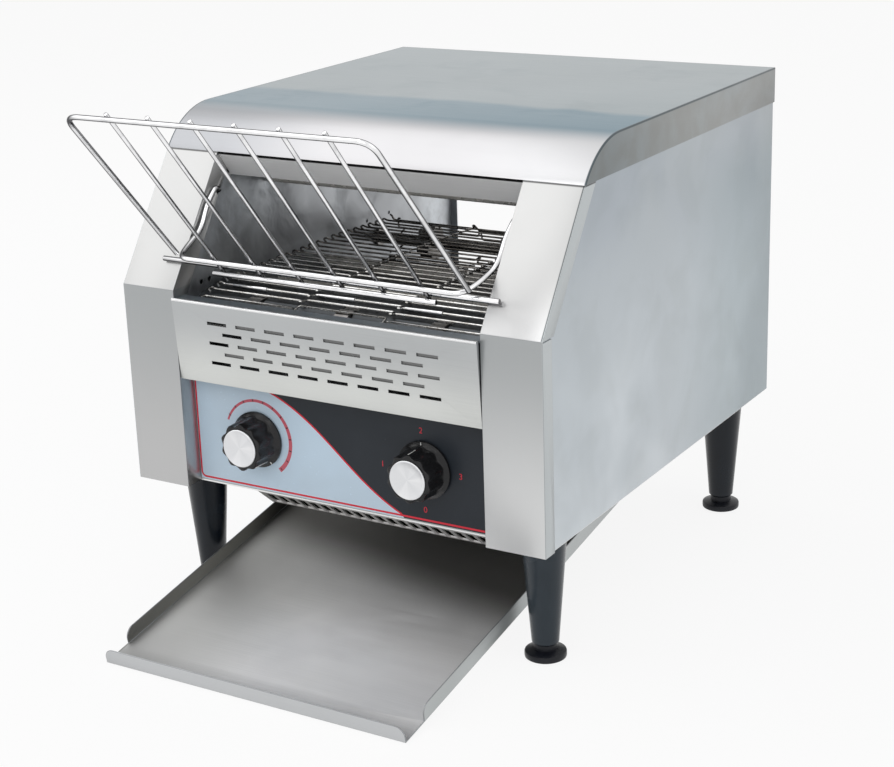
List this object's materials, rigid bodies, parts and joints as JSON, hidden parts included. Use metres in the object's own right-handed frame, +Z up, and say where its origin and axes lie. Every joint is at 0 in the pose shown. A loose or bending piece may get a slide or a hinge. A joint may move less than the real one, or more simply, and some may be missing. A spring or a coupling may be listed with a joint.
{
  "type": "conveyor toaster",
  "caption": "Countertop conveyor toaster: a wire belt takes bread from a lifting wire rack past quartz heaters, and the toast slides down a long tray to the front",
  "frame": {"origin": "bottom centre of the whole object, on the table", "axes": "+Z up, -Y towards the front with the rack, knobs and tray lip, +X towards the right of someone facing the front"},
  "size_m": [0.368, 0.5404, 0.4229],
  "materials": {
    "casing": "satin",
    "side_sheet": "satin",
    "inner_sheet": "satin",
    "front_sheet": "satin",
    "overlay": "matte",
    "reflector": "polished",
    "quartz": "polished",
    "ceramic": "matte",
    "belt_wire": "satin",
    "bright_wire": "polished",
    "shaft_steel": "satin",
    "wheel_steel": "matte",
    "brass": "satin",
    "motor": "satin",
    "fan_plastic": "matte",
    "knob": "satin",
    "cap": "satin",
    "control_body": "matte",
    "zinc": "satin",
    "terminal": "satin",
    "gland": "matte",
    "leg": "satin",
    "foot": "matte",
    "tray_sheet": "satin"
  },
  "bodies": {
    "body": {"base_plate": "inner_sheet", "side_panel_left": "side_sheet", "side_panel_right": "side_sheet", "front_post_left": "casing", "front_post_right": "casing", "inner_wall_left": "inner_sheet", "inner_wall_right": "inner_sheet", "rear_panel": "casing", "top_cover": "casing", "tunnel_ceiling": "inner_sheet", "front_baffle": "front_sheet", "feed_ramp": "inner_sheet", "belt_deck": "inner_sheet", "control_panel": "front_sheet", "panel_overlay": "overlay", "vent_strip": "front_sheet", "heat_shield": "inner_sheet", "lower_reflector": "reflector", "upper_heaters": "quartz", "lower_heaters": "quartz", "heater_caps": "ceramic", "belt": "belt_wire", "splice_sleeves": "bright_wire", "shaft_bushings": "brass", "gear_motor": "motor", "fan_frame": "fan_plastic", "speed_control": "control_body", "rotary_switch": "control_body", "control_nuts": "zinc", "terminal_block": "terminal", "cable_gland": "gland", "gland_nut": "gland", "leg_front_left": "leg", "leg_front_right": "leg", "leg_rear_left": "leg", "leg_rear_right": "leg", "leg_bolts": "zinc", "case_screws": "zinc", "tray_hangers": "reflector"},
    "drive": {"drive_shaft": "shaft_steel", "drive_wheels": "wheel_steel", "shaft_coupling": "brass", "motor_shaft": "shaft_steel"},
    "idler": {"idler_shaft": "shaft_steel", "idler_wheels": "wheel_steel"},
    "fan": {"fan_rotor": "fan_plastic"},
    "speed_dial": {"speed_knob": "knob", "speed_knob_cap": "cap", "speed_spindle": "shaft_steel"},
    "switch_dial": {"switch_knob": "knob", "switch_knob_cap": "cap", "switch_spindle": "shaft_steel"},
    "tray": {"tray": "tray_sheet"},
    "rack": {"rack_frame": "bright_wire", "rack_rods": "bright_wire", "rack_bars": "bright_wire"},
    "foot_front_left": {"foot_front_left": "foot"},
    "foot_front_right": {"foot_front_right": "foot"},
    "foot_rear_left": {"foot_rear_left": "foot"},
    "foot_rear_right": {"foot_rear_right": "foot"}
  },
  "joints": [
    {"name": "drive_turn", "type": "hinge", "parent": "body", "child": "drive", "pos_m": [0, 0.1348, 0.23921], "axis": [1, 0, 0], "continuous": true},
    {"name": "idler_turn", "type": "hinge", "parent": "body", "child": "idler", "pos_m": [0, -0.11945, 0.23921], "axis": [1, 0, 0], "continuous": true},
    {"name": "fan_turn", "type": "hinge", "parent": "body", "child": "fan", "pos_m": [-0.03, -0.03775, 0.1175], "axis": [0, 0, 1], "continuous": true},
    {"name": "speed_turn", "type": "hinge", "parent": "body", "child": "speed_dial", "pos_m": [-0.0755, -0.13775, 0.1468], "axis": [0, -1, 0], "range_deg": [0, 210]},
    {"name": "switch_turn", "type": "hinge", "parent": "body", "child": "switch_dial", "pos_m": [0.0755, -0.13775, 0.1468], "axis": [0, -1, 0], "range_deg": [-270, 0]},
    {"name": "tray_slide", "type": "slide", "parent": "body", "child": "tray", "axis": [0, -1, 0], "range_m": [0, 0.23]},
    {"name": "rack_lift", "type": "hinge", "parent": "body", "child": "rack", "pos_m": [0, -0.09075, 0.327], "axis": [-1, 0, 0], "range_deg": [0, 80]},
    {"name": "level_front_left", "type": "slide", "parent": "body", "child": "foot_front_left", "axis": [0, 0, -1], "range_m": [0, 0.012]},
    {"name": "level_front_right", "type": "slide", "parent": "body", "child": "foot_front_right", "axis": [0, 0, -1], "range_m": [0, 0.012]},
    {"name": "level_rear_left", "type": "slide", "parent": "body", "child": "foot_rear_left", "axis": [0, 0, -1], "range_m": [0, 0.012]},
    {"name": "level_rear_right", "type": "slide", "parent": "body", "child": "foot_rear_right", "axis": [0, 0, -1], "range_m": [0, 0.012]}
  ],
  "couplings": [
    {"joint": "idler_turn", "follows": "drive_turn", "ratio": 1}
  ]
}
